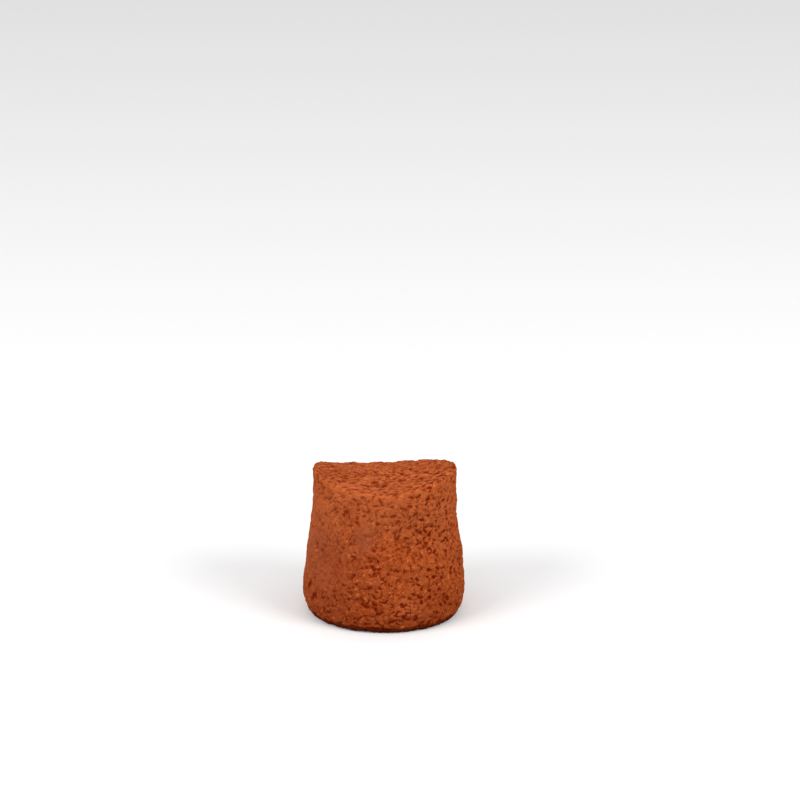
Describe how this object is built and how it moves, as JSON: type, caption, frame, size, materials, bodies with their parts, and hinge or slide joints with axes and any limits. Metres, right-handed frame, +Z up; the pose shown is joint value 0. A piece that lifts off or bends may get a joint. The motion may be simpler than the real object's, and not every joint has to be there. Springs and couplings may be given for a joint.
{
  "type": "chocolate truffle",
  "caption": "Cocoa-dusted chocolate truffle: a soft, slightly tapered round plug with a flared foot and a shallow saddle-shaped cut top.",
  "frame": {"origin": "centre of the footprint, on the floor under the truffle", "axes": "+Z up, the side shown in front faces -Y, +X to its right"},
  "size_m": [0.0241, 0.0238, 0.0227],
  "materials": {
    "cocoa_coating": "dry cocoa powder, fully matt, red-brown, in fine clumps with dark pits between them (colour in linear RGB)"
  },
  "bodies": {
    "root": {"truffle": "cocoa_coating"}
  },
  "joints": []
}
